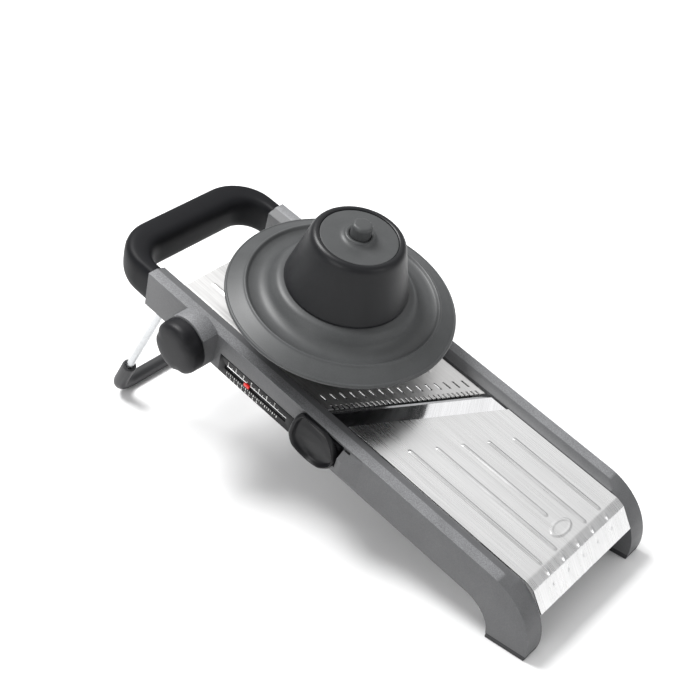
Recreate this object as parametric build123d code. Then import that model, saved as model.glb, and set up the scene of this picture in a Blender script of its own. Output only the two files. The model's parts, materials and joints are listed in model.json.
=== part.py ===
from build123d import *
import os
from math import atan2, cos, degrees, pi, radians, sin, tan

# Mandoline slicer, millimetres. It is drawn in its own slanted frame: X runs along the rails
# towards the landing end, Y across them, and Z is square to the rail tops, which lie at Z = 0.
# X = 0 is the fold at the front of the landing plate. tipOver then stands it on the table.

# Driving dimensions
bodyWidth = 138.0          # over the outer faces of the rails
railDepth = 31.5           # rail tops down to rail undersides
pitch = 16.2               # slope of the rails to the table, degrees
frontHeight = 51.3         # height of X = 0 at the rail tops above the table
railRear = -352.0          # where the grey rails meet the black grip
rampRear = -331.0          # rear edge of the ramp
handleRear = -400.0        # rear of the handle loop
bladeAngle = 29.5          # slant of the blade from straight across, degrees
bladeMid = -151.5          # cutting edge on the centre line
combMid = -154.0           # front edge of the ramp on the centre line
rampTop = -3.8             # ramp surface at rest
bladeTop, bladeThick = -3.5, 0.8
landTop = -2.2             # landing plate surface
sheet = 1.0                # stainless sheet thickness
wall = 2.5                 # moulded walls
knobX, knobZ, knobR = -294.0, -14.6, 20.4
legPivotX, legPivotZ = -337.0, -22.0
legFootX = -408.0          # table X of the leg's foot, from the same zero as the rails
legFoldAngle = 9.0         # angle left between folded leg and rails, degrees
wireR, sleeveR = 3.0, 5.75
holderX = -231.0           # axis of the food holder
brimR = 83.0
pinionTeeth, toothModule = 15, 1.0
fit = 0.06                 # radial clearance of a shaft in its bore
gap = 0.4                  # clearance between sliding pieces

half = bodyWidth / 2
inner = 53.8               # inner faces of the rails
rampHalf = 53.0            # half width of ramp and landing plate
slant = tan(radians(bladeAngle))
channelIn, channelOut = inner + wall, half - wall
armY = (channelIn + channelOut) / 2
pinionR = pinionTeeth * toothModule / 2
tipOver = Location((0, 0, frontHeight)) * Rot(0, pitch, 0)


def block(x0, x1, y0, y1, z0, z1):
    return Pos((x0 + x1) / 2, (y0 + y1) / 2, (z0 + z1) / 2) * Box(x1 - x0, y1 - y0, z1 - z0)


def acrossY(face, y0, y1):
    """A side-view face (drawn on Plane.XZ) carried from y0 to y1."""
    return Pos(0, y0, 0) * extrude(face, amount=y1 - y0, dir=(0, 1, 0))


def side(points, y0, y1):
    return acrossY(Plane.XZ * make_face(Polyline(*points, close=True)), y0, y1)


def plan(points, z0, z1):
    return Pos(0, 0, z0) * extrude(make_face(Polyline(*points, close=True)), amount=z1 - z0, dir=(0, 0, 1))


def rodY(x, z, r, y0, y1):
    return Pos(x, (y0 + y1) / 2, z) * Rot(90, 0, 0) * Cylinder(r, y1 - y0)


def rodZ(x, y, r, z0, z1):
    return Pos(x, y, (z0 + z1) / 2) * Cylinder(r, z1 - z0)


def band(x0, x1, y0, y1, z0, z1):
    """A slanted bar parallel to the blade: x0 and x1 are where it crosses the centre line."""
    corners = [(x0 + slant * y0, y0), (x1 + slant * y0, y0), (x1 + slant * y1, y1), (x0 + slant * y1, y1)]
    return plan(corners, z0, z1)


def lathe(points, x=holderX):
    """A profile of (radius, Z) points turned about the holder's axis."""
    face = Plane.XZ * make_face(Polyline(*points, close=True))
    return Pos(x, 0, 0) * revolve(face, Axis.Z)


def tableSlab(z0, z1):
    """Everything between two heights above the table, in the slanted frame."""
    slab = Pos(-200, 0, (z0 + z1) / 2) * Box(700, 300, z1 - z0)
    return tipOver.inverse() * slab


def mirrored(shape):
    return mirror(shape, about=Plane.XZ)


# Frame: two hollow rails with their front legs and rubber pads

legCurveX, legCurveR = -24.0, 45.0     # rail top rolls over into the leg
heelX, heelR = -34.0, 25.0             # rail underside rolls into the leg's rear edge
padHeight = 4.5


def railSide():
    toeX, heelEndX, low = legCurveX + legCurveR, heelX + heelR, -62.0
    outline = [
        Line((railRear, 0), (legCurveX, 0)),
        CenterArc((legCurveX, -legCurveR), legCurveR, 90, -90),
        Line((toeX, -legCurveR), (toeX, low)),
        Line((toeX, low), (heelEndX, low)),
        Line((heelEndX, low), (heelEndX, -railDepth - heelR)),
        CenterArc((heelX, -railDepth - heelR), heelR, 0, 90),
        Line((heelX, -railDepth), (railRear, -railDepth)),
        Line((railRear, -railDepth), (railRear, 0)),
    ]
    return Plane.XZ * make_face(outline)


def bevelBar(points, x0, x1):
    """A (Y, Z) section carried from x0 to x1."""
    face = Plane.YZ * make_face(Polyline(*points, close=True))
    return Pos(x0, 0, 0) * extrude(face, amount=x1 - x0, dir=(1, 0, 0))


def railBlank():
    """The left rail with its leg and inner ledge, before its own openings."""
    rail = acrossY(railSide(), -half, -inner)
    rail -= tableSlab(-60, 0)
    ledge = [(-60.8, 0.5), (-60.8, 0), (-54.6, -2.4), (-inner + 1, -2.4), (-inner + 1, 0.5)]
    rail -= bevelBar(ledge, railRear - 1, legCurveX + 12)
    rail -= block(railRear + 2, heelX, -channelOut, -channelIn, -40, -3)
    rail -= rodY(legPivotX, legPivotZ, wireR + fit, -channelIn - 0.5, -inner + 0.5)
    for x, z in screwPlaces:
        rail -= rodY(x, z, screwR, -channelIn - 0.5, -inner + 0.5)
    rail -= rodY(pivotX, pivotZ, pivotR, -channelIn - 0.5, -inner + 0.5)
    return rail


# Where the cross members are screwed on, and the ramp's pivot rod
screwR, screwHeadR = 1.5, 2.2
screwPlaces = [(-324.0, -29.0), (-252.0, -29.0), (-38.5, -17.0)]
pivotX, pivotZ, pivotR, knuckleR = -322.0, -10.0, 3.0, 5.0

# Left rail only: knob boss, pointer slot, scale recess, cartridge slot and finger scoop
bossR, bossOut, bossFlat = 21.2, -82.0, 16.0
bushR = 7.0
shaftR = 4.0
slotX0, slotX1, slotZ0, slotZ1 = -266.0, -204.0, -24.9, -20.3
scaleX0, scaleX1, scaleZ0, scaleZ1, scaleThick = -272.0, -196.0, -31.3, -15.0, 1.0
traySlot = dict(front=-152.2, rear=-115.4, low=-14.6, high=-3.0)
fairingOut = -75.5         # housing beside the cartridge pull
pullX0, pullX1, pullOut = -191.0, -153.0, 10.0


def leftRail():
    rail = railBlank()
    boss = rodY(knobX, knobZ, bossR, bossOut, -half + 0.5)
    boss -= block(knobX + bossFlat, knobX + 40, bossOut - 1, -half + 2, -60, 20)
    rail += fillet(boss.edges().filter_by(Axis.Y), 4.0)
    rail -= block(scaleX0, scaleX1, -half - 1, -half + scaleThick, scaleZ0 - 1, scaleZ1)
    housing = plan([(pullX1 + 0.6, -half + 0.5), (pullX1 + 0.6, fairingOut), (pullX1 + 5, fairingOut),
                    (pullX1 + 18, -half + 0.5)], -40, 0)
    rail += housing & bevelBar([(-half + 0.5, -1.5), (fairingOut, -8), (fairingOut, -21), (-half + 0.5, -29)],
                               pullX1, pullX1 + 30)
    rail -= rodY(knobX, knobZ, bushR, bossOut - 1, -inner + 1)
    rail -= block(slotX0, slotX1, -half - 1, -inner + 1, slotZ0, slotZ1)
    slot = traySlot
    rail -= band(slot["front"], slot["rear"], -half - 1, -inner + 1, slot["low"], slot["high"])
    scoop = Pos((pullX0 + pullX1) / 2 + 4, -half, -14) * Rot(90, 0, 0) * Cylinder(24, 2.4)
    rail -= scoop & block(-230, -120, -half - 2, -half + 1.2, -26.4, -2)
    return rail


def rightRail():
    rail = mirrored(railBlank())
    rail -= rodY(knobX, knobZ, bushR, inner - 1, channelIn + 1)
    return rail


def splitFoot(rail):
    """The grey rail above its rubber pad, and the pad."""
    return rail - tableSlab(-1, padHeight), rail & tableSlab(0, padHeight)


# Rear handle: a loop joining the rails, with a moulded core inside a soft grip

loopInner, loopCornerOut, loopCornerIn = 55.0, 34.0, 19.0
loopThick = 26.0


def loopOutline(y, rearX, corner):
    """Half-width, rear edge and corner radius of a U in plan, open to the front."""
    edge = [
        Line((railRear, -y), (rearX + corner, -y)),
        CenterArc((rearX + corner, -y + corner), corner, 270, -90),
        Line((rearX, -y + corner), (rearX, y - corner)),
        CenterArc((rearX + corner, y - corner), corner, 180, -90),
        Line((rearX + corner, y), (railRear, y)),
        Line((railRear, y), (railRear, -y)),
    ]
    return make_face(edge)


def loop(margin, z0, z1):
    """The handle loop shrunk by a margin all round, between two heights."""
    outside = loopOutline(half - margin, handleRear + margin, loopCornerOut - margin)
    inside = loopOutline(loopInner + margin, handleRear + loopThick - margin, loopCornerIn + margin)
    return Pos(0, 0, z0) * extrude(outside - inside, amount=z1 - z0, dir=(0, 0, 1))


def handleParts():
    core = loop(3.5, -railDepth + 9, -9)
    shell = loop(0, -railDepth + 1, 0)
    level = shell.edges().filter_by(lambda e: abs((e @ 0).Z - (e @ 1).Z) < 0.1)
    shell = fillet(level.filter_by(lambda e: e.center().X < railRear - 1), 5.5)
    return core, shell - core


def pressedRib(x0, x1, y, z, width=4.4, height=0.7):
    """A low rib with round ends along X."""
    rib = SlotOverall(x1 - x0, width)
    return Pos((x0 + x1) / 2, y, z - 0.2) * extrude(rib, amount=height + 0.2)


# Landing plate: diagonal rear edge, folded down in front, with five pressed ribs

plateRear, ribStart = -134.3, -105.0
foldX, creaseX, apronX = -5.5, 0.6, 12.8
creaseZ, apronZ = -4.4, -18.0
ribYs = [-34.4, -17.2, 0.0, 17.2, 34.4]


def landingPlate():
    y = rampHalf
    flat = [(plateRear - slant * y, -y), (foldX, -y), (foldX, y), (plateRear + slant * y, y)]
    plate = plan(flat, landTop - sheet, landTop)
    fold = [(foldX, landTop), (creaseX, creaseZ), (apronX, apronZ),
            (apronX - 0.8, apronZ - 0.7), (creaseX - 0.5, creaseZ - 0.9), (foldX, landTop - sheet)]
    plate += side(fold, -y, y)
    for y in ribYs:
        end = -28.0 if y == 0 else -7.5
        plate += pressedRib(ribStart + slant * y, end, y, landTop)
    return plate


# Cross members under the plates

def braces():
    rear = block(-331, -317, -inner, inner, -31, -27) + block(-331, -329, -43, 43, -27.1, -8)
    middle = block(-259, -245, -inner, inner, -31, -27)
    front = block(-46, -24, -inner, inner, -25, -9)
    throat = band(-110.0, -103, -inner, inner, -18, landTop - sheet)
    throat += band(-126, -102, -inner, inner, -18, -14.6)
    for x, z in screwPlaces:
        hole = rodY(x, z, screwR, -inner - 1, -inner + 8) + rodY(x, z, screwR, inner - 8, inner + 1)
        rear, middle, front = rear - hole, middle - hole, front - hole
    return rear, middle, front, throat


def frameScrews():
    screws = []
    for x, z in screwPlaces:
        screw = rodY(x, z, screwR, -channelIn, -inner + 7)
        screw += rodY(x, z, screwHeadR, -channelIn - 1.5, -channelIn)
        screws += [screw, mirrored(screw)]
    return Compound(screws)


# Thickness knob with its shaft and pinions

knobFace, knobBack = -96.3, -82.8
slideY0, slideY1 = 45.0, 51.0


def pinion(y0):
    """A straight-flanked gear of the tooth module, slim enough to run free in its rack."""
    root, tip = pinionR - 1.15 * toothModule, pinionR + 0.7 * toothModule
    blank = Cylinder(root, slideY1 - slideY0)
    tooth = Polyline((root - 1, -0.95), (root, -0.85), (tip, -0.38), (tip, 0.38), (root, 0.85),
                     (root - 1, 0.95), close=True)
    cog = extrude(make_face(tooth), amount=(slideY1 - slideY0) / 2, both=True)
    for i in range(pinionTeeth):
        blank += Rot(0, 0, 360 / pinionTeeth * (i + 0.5)) * cog
    blank -= Cylinder(shaftR, 20)
    # one gap between teeth faces straight down at rest
    gear = Rot(90, 0, 0) * Rot(0, 0, -90) * blank
    return Pos(knobX, y0 + (slideY1 - slideY0) / 2, knobZ) * gear


def knobParts():
    body = rodY(knobX, knobZ, knobR, knobFace + 1.5, knobBack)
    body = chamfer(body.edges().filter_by(GeomType.CIRCLE).group_by(Axis.Y)[0], 1.2)
    for i in range(3):
        notch = Rot(0, 120 * i + 45, 0) * Pos(knobR + 3.2, 0, 0) * Rot(90, 0, 0) * Cylinder(5.0, 40)
        body -= Pos(knobX, knobFace, knobZ) * notch
    body -= rodY(knobX, knobZ, knobR - 3.5, knobFace, knobFace + 3)
    body -= rodY(knobX, knobZ, shaftR, knobFace + 4, knobBack + 1)
    cap = rodY(knobX, knobZ, knobR - 3.5, knobFace, knobFace + 3)
    shaft = rodY(knobX, knobZ, shaftR, knobFace + 4, channelIn)
    return body, cap, shaft


def bushes():
    left = rodY(knobX, knobZ, bushR, bossOut, -inner)
    right = rodY(knobX, knobZ, bushR, inner, channelIn)
    hole = rodY(knobX, knobZ, shaftR + fit, -100, 100)
    return left - hole, right - hole


# Slides: toothed bars that carry the pointer and the two lifting wedges

pointerX = -243.0
wedgeX = -210.0
dropPerKnob = 0.00575        # ramp tilt per radian of knob
slidePerKnob = pinionR       # slide travel per radian of knob
wedgeSlope = dropPerKnob / slidePerKnob * (wedgeX - pivotX)
lugLow, lugHalf = -17.0, 2.5
slideLow, slideHigh = -26.0, -23.1
slideRear, wedgeRear, slideFront = -322.0, -240.0, -192.0


def slideBar():
    bar = block(slideRear, slideFront, -slideY1, -slideY0, slideLow, slideHigh)
    pitchZ, rise = knobZ - pinionR, 0.7 * toothModule
    toothStep = pi * toothModule
    for i in range(-8, 5):
        x = knobX + i * toothStep
        tooth = [(x - 0.85, slideHigh - 0.1), (x - 0.38, pitchZ + rise), (x + 0.38, pitchZ + rise),
                 (x + 0.85, slideHigh - 0.1)]
        bar += side(tooth, -slideY1, -slideY0)
    low, high = [lugLow - gap + wedgeSlope * (x - wedgeX) for x in (wedgeRear, slideFront)]
    root = slideHigh - 0.1
    wedge = [(wedgeRear, root), (wedgeRear, low), (slideFront, high), (slideFront, root)]
    return bar + side(wedge, -slideY1, -slideY0)


def pointer():
    arm = block(pointerX - 1.5, pointerX + 1.5, -half - 0.2, -slideY1, -23.9, -21.3)
    left, right = pointerX - 2.6, pointerX + 2.6
    flag = [(left, -23.8), (right, -23.8), (right, -21.4), (left, -21.4)]
    return arm + side(flag, -half - 1.3, -half - 0.1)


def slideGuides():
    ledge = block(-316, -186, -inner, -slideY0, -30, slideLow - gap)
    ledge -= block(-260, -244, -inner - 1, -slideY0 + 1, -31, -26.9)
    return ledge


def scalePlate():
    plate = block(scaleX0 + 0.1, scaleX1 - 0.1, -half - 0.3, -half + scaleThick, scaleZ0, scaleZ1 - 0.1)
    return plate - block(slotX0, slotX1, -half - 1, -half + 2, slotZ0, slotZ1)


# Ramp: the sheet with its slots and comb, two ribs beneath, and knuckles on the pivot rod

slotYs = [-47 + 94 / 15 * i for i in range(16)]
slotMid, slotLong, slotWide = -166.3, 7.4, 1.3
combTeeth, combLong, combWide = 31, 4.0, 1.5


def rampPlate():
    y = rampHalf
    outline = [(rampRear, -y), (combMid - slant * y, -y), (combMid + slant * y, y), (rampRear, y)]
    plate = plan(outline, rampTop - sheet, rampTop)
    plate += block(rampRear, rampRear + sheet, -y, y, -6.6, rampTop)
    for side_ in (-1, 1):
        front = combMid + slant * side_ * y - 6
        plate += block(rampRear, front, side_ * y - max(side_, 0), side_ * y - min(side_, 0), -6.6, rampTop)
    for y in slotYs:
        x = slotMid + slant * y
        plate -= block(x - slotLong / 2, x + slotLong / 2, y - slotWide / 2, y + slotWide / 2, -9, 0)
    for i in range(combTeeth):
        y = -48 + 96 / (combTeeth - 1) * i
        x = combMid + slant * y
        plate -= block(x - combLong, x + 2, y - combWide / 2, y + combWide / 2, -9, 0)
    for y in ribYs:
        plate += pressedRib(-320, slotMid - 16 + slant * y, y, rampTop)
    return plate


def rampRib(side_):
    """The moulded bar under one edge of the ramp, with its follower lug."""
    front = -202.0 if side_ < 0 else -150.0
    y0, y1 = 44.0, 51.8
    rib = block(-280, front, y0, y1, -11, rampTop - sheet)
    rib += block(wedgeX - lugHalf, wedgeX + lugHalf, slideY0, slideY1, lugLow, -11)
    return rib if side_ > 0 else mirrored(rib)


def rampKnuckles():
    pieces = []
    for y in (-30.0, 30.0):
        lug = rodY(pivotX, pivotZ, knuckleR, y - 9, y + 9)
        lug += block(pivotX - knuckleR, pivotX + knuckleR, y - 9, y + 9, pivotZ, rampTop - sheet)
        pieces.append(lug - rodY(pivotX, pivotZ, pivotR + fit, y - 10, y + 10))
    return Compound(pieces)


# Julienne cutters under the slots


def julienneCarrier():
    bar = band(slotMid - 4.2, slotMid + 6.5, -49.5, 49.5, -14.4, -11)
    bar += rodZ(slotMid, 0, 4.0, -20, -14.4)
    for y in slotYs:
        x = slotMid + slant * y
        bar -= block(x - 2.9, x + 2.9, y - 0.35, y + 0.35, -12.9, -10)
    return bar


def julienneBlades():
    blades = []
    for y in slotYs:
        x = slotMid + slant * y
        shape = [(x - 2.9, -12.9), (x + 2.9, -12.9), (x + 2.9, rampTop - 2.0), (x - 2.0, rampTop - 1.2),
                 (x - 2.9, rampTop - 2.6)]
        blades.append(side(shape, y - 0.35, y + 0.35))
    return Compound(blades)


# Blade cartridge: a tray on the blade's diagonal that draws out to the left

trayFront, trayRear, bladeRear = -146.0, -116.5, -118.5
trayLow, trayEnd = -14.2, 52.6
rivetR = 1.6


def cartridgeParts():
    y0 = -half - 1.0
    bladeLow = bladeTop - bladeThick
    tray = band(trayFront, trayRear, y0, trayEnd, trayLow, bladeLow)
    tray -= band(trayFront + 3, trayRear - 3, -inner + 3, trayEnd - 4, trayLow - 1, bladeLow - wall)
    blade = band(bladeMid, bladeRear, -inner + 0.8, trayEnd, bladeLow, bladeTop)
    rivets = []
    for y in (-48.0, -16.0, 16.0, 48.0):
        x = bladeRear - 5 + slant * y
        tray -= rodZ(x, y, rivetR, -8.0, bladeTop)
        blade -= rodZ(x, y, rivetR, -8.0, bladeTop + 1)
        rivets.append(rodZ(x, y, rivetR, -8.0, bladeTop))
    return tray, blade, Compound(rivets)


def cartridgePull():
    """A hooded pull: a rounded outline in side view, swelling outwards below the rail top."""
    outline = [(pullX0, 0.4), (pullX1 - 15, 0.4), (pullX1, -10), (pullX1, -17), (-165, -29),
               (-176, -33), (-187, -30), (pullX0 - 3, -20), (pullX0 - 3, -8)]
    face = Plane.XZ * make_face(Polyline(*outline, close=True))
    face = fillet(face.vertices(), 3.0)
    pull = acrossY(face, -half - pullOut, -half - 1.0)
    section = [(-half - 1.0, 0.5), (-half - 3.0, 0.5), (-half - 8.4, -10), (-half - pullOut, -18),
               (-half - 9.2, -27), (-half - 6, -33.5), (-half - 1.0, -34)]
    pull &= bevelBar(section, pullX0 - 8, pullX1 + 8)
    return pull


# Rear leg: bent wire with a rubber sleeve

def legParts():
    foot = tipOver.inverse() * Pos(legFootX, 0, sleeveR)
    footX, footZ = foot.position.X, foot.position.Z
    down = Vector(footX - legPivotX, 0, footZ - legPivotZ)
    reach = down.length
    # drawn flat, hanging straight down from the pivot, then swung back about it
    bend, footBend = 4.5, 16.0
    path = FilletPolyline((-slideY1 - 0.3, 0), (-armY, 0), (-armY, -reach), (armY, -reach),
                          (armY, 0), (slideY1 + 0.3, 0), radius=(bend, footBend, footBend, bend))
    path = Plane.YZ * path
    wire = sweep(Plane(origin=path @ 0, z_dir=path % 0) * Circle(wireR), path=path)
    sleevePath = Plane.YZ * FilletPolyline((-armY, -reach + 40), (-armY, -reach), (armY, -reach),
                                           (armY, -reach + 40), radius=footBend)
    sleeve = sweep(Plane(origin=sleevePath @ 0, z_dir=sleevePath % 0) * Circle(sleeveR), path=sleevePath)
    clips = []
    for s in (-1, 1):
        clip = rodY(0, 0, 5.0, 51.5, 53.2) - rodY(0, 0, wireR, 50, 54)
        clips.append(clip if s > 0 else mirrored(clip))
    swing = Pos(legPivotX, 0, legPivotZ) * Rot(0, degrees(atan2(-down.X, -down.Z)), 0)
    return swing * wire, swing * (sleeve - wire), swing * Compound(clips)


# Food holder: wide brim, food cup, soft dome with a cap, and a spring plunger

cupR, cupWall, cupLow, cupTop = 46.0, 2.5, 1.5, 42.0
brimRim, brimRing, brimFoot = 35.2, 42.0, 50.5
capZ, capR = 94.0, 27.3
plungerR, rodR = 7.3, 4.0


def holderParts():
    t, capLow = 2.4, capZ - 4.2
    upper = [(cupR - 3, brimFoot), (cupR + 1, brimFoot - 1.5), (cupR + 5, 45), (55, 41.2), (62, 39.6),
             (67, 40.6), (69, brimRing), (70.5, 41.4), (brimR, brimRim)]
    lower = [(x, z - t) for x, z in reversed(upper)]
    brim = lathe(upper + lower)
    cup = lathe([(cupR - cupWall, cupLow), (cupR, cupLow), (cupR, cupTop), (cupR - cupWall, cupTop)])
    brim -= rodZ(holderX, 0, cupR, 0, cupTop)
    brim += lathe([(cupR - cupWall, cupTop), (cupR + 6, cupTop), (cupR + 2, 46), (cupR - 3, 48.2),
                   (cupR - 3.2, 44)])
    dome = [(44.5, 51.0), (43.2, 54), (40.8, 62), (37.4, 75), (34.4, 86.5), (33.0, 90.6), (31.4, 93.2),
            (29.4, capZ), (capR, capZ), (capR, capLow), (34.0, 78), (37.8, 64), (40, 54), (40.4, 51.0)]
    dome = lathe(dome)
    cap = lathe([(plungerR + fit, capLow), (capR, capLow), (capR, capZ - 0.8), (plungerR + 5, capZ - 0.8),
                 (plungerR + 2.8, capZ + 2), (plungerR + fit, capZ + 2)])
    web = lathe([(rodR + fit, 70), (rodR + 5, 70), (rodR + 5, 73), (35.2, 73), (34.6, 75.5),
                 (rodR + fit, 75.5)])
    return brim, cup, dome, cap, web


pusherLow, pusherThick = 26.0, 3.0


def plungerParts():
    button = rodZ(holderX, 0, plungerR, 80, 105.2)
    button = fillet(button.edges().group_by(Axis.Z)[-1], 1.6)
    button -= rodZ(holderX, 0, rodR, 79, 86)
    rod = rodZ(holderX, 0, rodR, pusherLow + pusherThick, 86)
    plate = rodZ(holderX, 0, cupR - cupWall - 1.2, pusherLow, pusherLow + pusherThick)
    prongs = []
    for ring, count in ((14.0, 5), (31.0, 10)):
        for i in range(count):
            a = 2 * pi * i / count
            x, y = holderX + ring * cos(a), ring * sin(a)
            spike = Pos(x, y, 17) * Rot(180, 0, 0) * Cone(1.25, 0.3, 6)
            prongs.append(rodZ(x, y, 1.25, 20, pusherLow) + spike)
    collar = rodZ(holderX, 0, rodR + 2.5, pusherLow + pusherThick, pusherLow + 8)
    collar -= rodZ(holderX, 0, rodR, 0, 90)
    return button, rod, plate, Compound(prongs), collar


def plungerSpring():
    """The coil that presses the plunger down, between the web and the pusher's collar."""
    wireSide, coilR, z0, z1, turns = 1.1, rodR + 3.0, pusherLow + 9.5, 68.5, 8
    helix = Helix(pitch=(z1 - z0) / turns, height=z1 - z0, radius=coilR)
    profile = Plane(origin=helix @ 0, z_dir=helix % 0) * Rectangle(wireSide, wireSide)
    return Pos(holderX, 0, z0) * sweep(profile, path=helix, is_frenet=True)


leftGrey, leftPad = splitFoot(leftRail())
rightGrey, rightPad = splitFoot(rightRail())
core, grip = handleParts()
rearBrace, middleBrace, frontBrace, throatBrace = braces()
leftBush, rightBush = bushes()
knob, knobCap, knobShaft = knobParts()
tray, blade, rivets = cartridgeParts()
wire, sleeve, clips = legParts()
brim, cup, dome, cap, web = holderParts()
button, plungerRod, pusher, prongs, collar = plungerParts()

nodes = {
    "left_rail": leftGrey, "right_rail": rightGrey, "left_foot_pad": leftPad, "right_foot_pad": rightPad,
    "handle_core": core, "handle_grip": grip, "landing_plate": landingPlate(),
    "rear_brace": rearBrace, "middle_brace": middleBrace, "front_brace": frontBrace,
    "throat_brace": throatBrace, "frame_screws": frameScrews(), "scale_plate": scalePlate(),
    "left_slide_guide": slideGuides(), "right_slide_guide": mirrored(slideGuides()),
    "knob_bush": leftBush, "shaft_bush": rightBush,
    "ramp_pivot_rod": rodY(pivotX, pivotZ, pivotR, -channelIn, channelIn),
    "thickness_knob": knob, "knob_cap": knobCap, "knob_shaft": knobShaft,
    "left_pinion": pinion(-slideY1), "right_pinion": pinion(slideY0),
    "left_slide": slideBar(), "right_slide": mirrored(slideBar()), "thickness_pointer": pointer(),
    "ramp_plate": rampPlate(), "left_ramp_rib": rampRib(-1), "right_ramp_rib": rampRib(1),
    "ramp_knuckles": rampKnuckles(),
    "julienne_carrier": julienneCarrier(), "julienne_blades": julienneBlades(),
    "cartridge_tray": tray, "slicing_blade": blade, "blade_rivets": rivets, "cartridge_pull": cartridgePull(),
    "leg_wire": wire, "leg_sleeve": sleeve, "leg_clips": clips,
    "holder_brim": brim, "food_cup": cup, "holder_dome": dome, "holder_cap": cap, "holder_web": web,
    "plunger_button": button, "plunger_rod": plungerRod, "pusher_plate": pusher, "pusher_prongs": prongs,
    "plunger_collar": collar, "plunger_spring": plungerSpring(),
}

# Tip onto the table and centre the footprint: the origin is the middle of the box's underside
tipped = {name: tipOver * shape for name, shape in nodes.items()}
solids = [solid for shape in tipped.values() for solid in shape.solids()]
box = Compound(solids).bounding_box()
centred = Pos(-(box.min.X + box.max.X) / 2, -(box.min.Y + box.max.Y) / 2, 0)


def place(x, y, z):
    """Where a point of the slanted frame lies in the part's frame."""
    return (centred * tipOver * Pos(x, y, z)).position


os.makedirs("parts", exist_ok=True)
for name, shape in tipped.items():
    export_step(centred * shape, f"parts/{name}.step")
print("size", box.size, "lowest", round(box.min.Z, 3))
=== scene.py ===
import json
import math

import bmesh
import bpy
import numpy as np
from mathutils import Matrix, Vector


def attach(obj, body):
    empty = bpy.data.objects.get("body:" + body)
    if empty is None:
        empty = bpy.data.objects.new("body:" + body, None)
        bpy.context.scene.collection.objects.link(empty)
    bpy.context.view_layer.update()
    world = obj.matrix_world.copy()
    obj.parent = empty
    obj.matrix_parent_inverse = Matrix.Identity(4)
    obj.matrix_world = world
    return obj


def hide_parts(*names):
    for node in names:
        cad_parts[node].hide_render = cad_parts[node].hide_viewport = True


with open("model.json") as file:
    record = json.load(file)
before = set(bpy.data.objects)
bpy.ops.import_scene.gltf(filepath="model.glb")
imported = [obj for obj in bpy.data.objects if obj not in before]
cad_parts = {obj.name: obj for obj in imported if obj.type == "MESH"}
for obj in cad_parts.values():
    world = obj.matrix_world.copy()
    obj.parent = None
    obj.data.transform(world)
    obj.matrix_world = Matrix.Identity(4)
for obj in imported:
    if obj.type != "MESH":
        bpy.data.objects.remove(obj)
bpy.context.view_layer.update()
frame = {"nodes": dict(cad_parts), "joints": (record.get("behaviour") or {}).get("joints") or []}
print("frame loaded:", len(frame["nodes"]), "nodes")

# The slicer is described in its own slanted frame, in metres: x along the rails towards the
# landing end, y across them, z square to the rail tops. The ramp's pivot joint fixes its zero.
pitch = math.radians(16.2)
along = np.array([math.cos(pitch), 0.0, -math.sin(pitch)])
across = np.array([0.0, 1.0, 0.0])
square = np.array([math.sin(pitch), 0.0, math.cos(pitch)])
pivotX, pivotZ = -0.322, -0.010
joints = {j["name"]: j for j in frame["joints"]}
zero = np.array(joints["ramp_tilt"]["pos_m"]) - pivotX * along - pivotZ * square

mm = 0.001
rampHalf = 53 * mm                       # half width of the ramp and landing plate
slant = math.tan(math.radians(29.5))     # the blade's slant, x per y


def toPart(points):
    """Slanted-frame points to the part's frame: the zero plus each coordinate times its own axis."""
    p = np.asarray(points, float)
    return zero + p[..., 0:1] * along + p[..., 1:2] * across + p[..., 2:3] * square


def smoothStep(a, b, x):
    """0 before a, 1 after b, and a cubic S between."""
    t = np.clip((np.asarray(x, float) - a) / (b - a), 0, 1)
    return t * t * (3 - 2 * t)


def bump(x, centre, width):
    """1 at the centre, falling to 0 at half the width as a squared parabola."""
    return np.clip(1 - ((x - centre) / (width / 2)) ** 2, 0, None) ** 2


def smoothLine(points, steps):
    """A Catmull-Rom curve through the points: a cubic blend of each four neighbours, evenly sampled."""
    p = np.asarray(points, float)
    p = np.vstack([2 * p[0] - p[1], p, 2 * p[-1] - p[-2]])
    t = np.linspace(0, len(p) - 3 - 1e-9, steps)
    i = t.astype(int)
    u = (t - i)[:, None]
    a, b, c, d = p[i], p[i + 1], p[i + 2], p[i + 3]
    return 0.5 * (2 * b + (c - a) * u + (2 * a - 5 * b + 4 * c - d) * u ** 2 + (3 * b - a - 3 * c + d)
                  * u ** 3)


def gridFaces(rows, columns, closeRows=False, closeColumns=False):
    """The four corners of every cell of a rows by columns grid, as one array."""
    i = np.arange(rows if closeRows else rows - 1)
    j = np.arange(columns if closeColumns else columns - 1)
    i, j = np.meshgrid(i, j, indexing="ij")
    i2, j2 = (i + 1) % rows, (j + 1) % columns
    return np.stack([i * columns + j, i2 * columns + j, i2 * columns + j2, i * columns + j2],
                    -1).reshape(-1, 4)


def makePiece(name, points, faces, body, material, nodes=(), sharp=40):
    """A mesh object at the origin from arrays of points and faces, with its normals made to face out."""
    points = np.asarray(points, float).reshape(-1, 3)
    mesh = bpy.data.meshes.new(name)
    mesh.from_pydata(toPart(points).tolist(), [], [list(map(int, f)) for f in faces])
    b = bmesh.new()
    b.from_mesh(mesh)
    bmesh.ops.remove_doubles(b, verts=b.verts, dist=1e-6)
    bmesh.ops.dissolve_degenerate(b, edges=b.edges, dist=1e-7)
    bmesh.ops.recalc_face_normals(b, faces=b.faces)
    b.to_mesh(mesh)
    b.free()
    mesh.shade_smooth()
    mesh.set_sharp_from_angle(angle=math.radians(sharp))
    piece = bpy.data.objects.new(name, mesh)
    bpy.context.scene.collection.objects.link(piece)
    piece.data.materials.append(material)
    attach(piece, body)
    if nodes:
        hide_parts(*nodes)
    return piece


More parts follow.
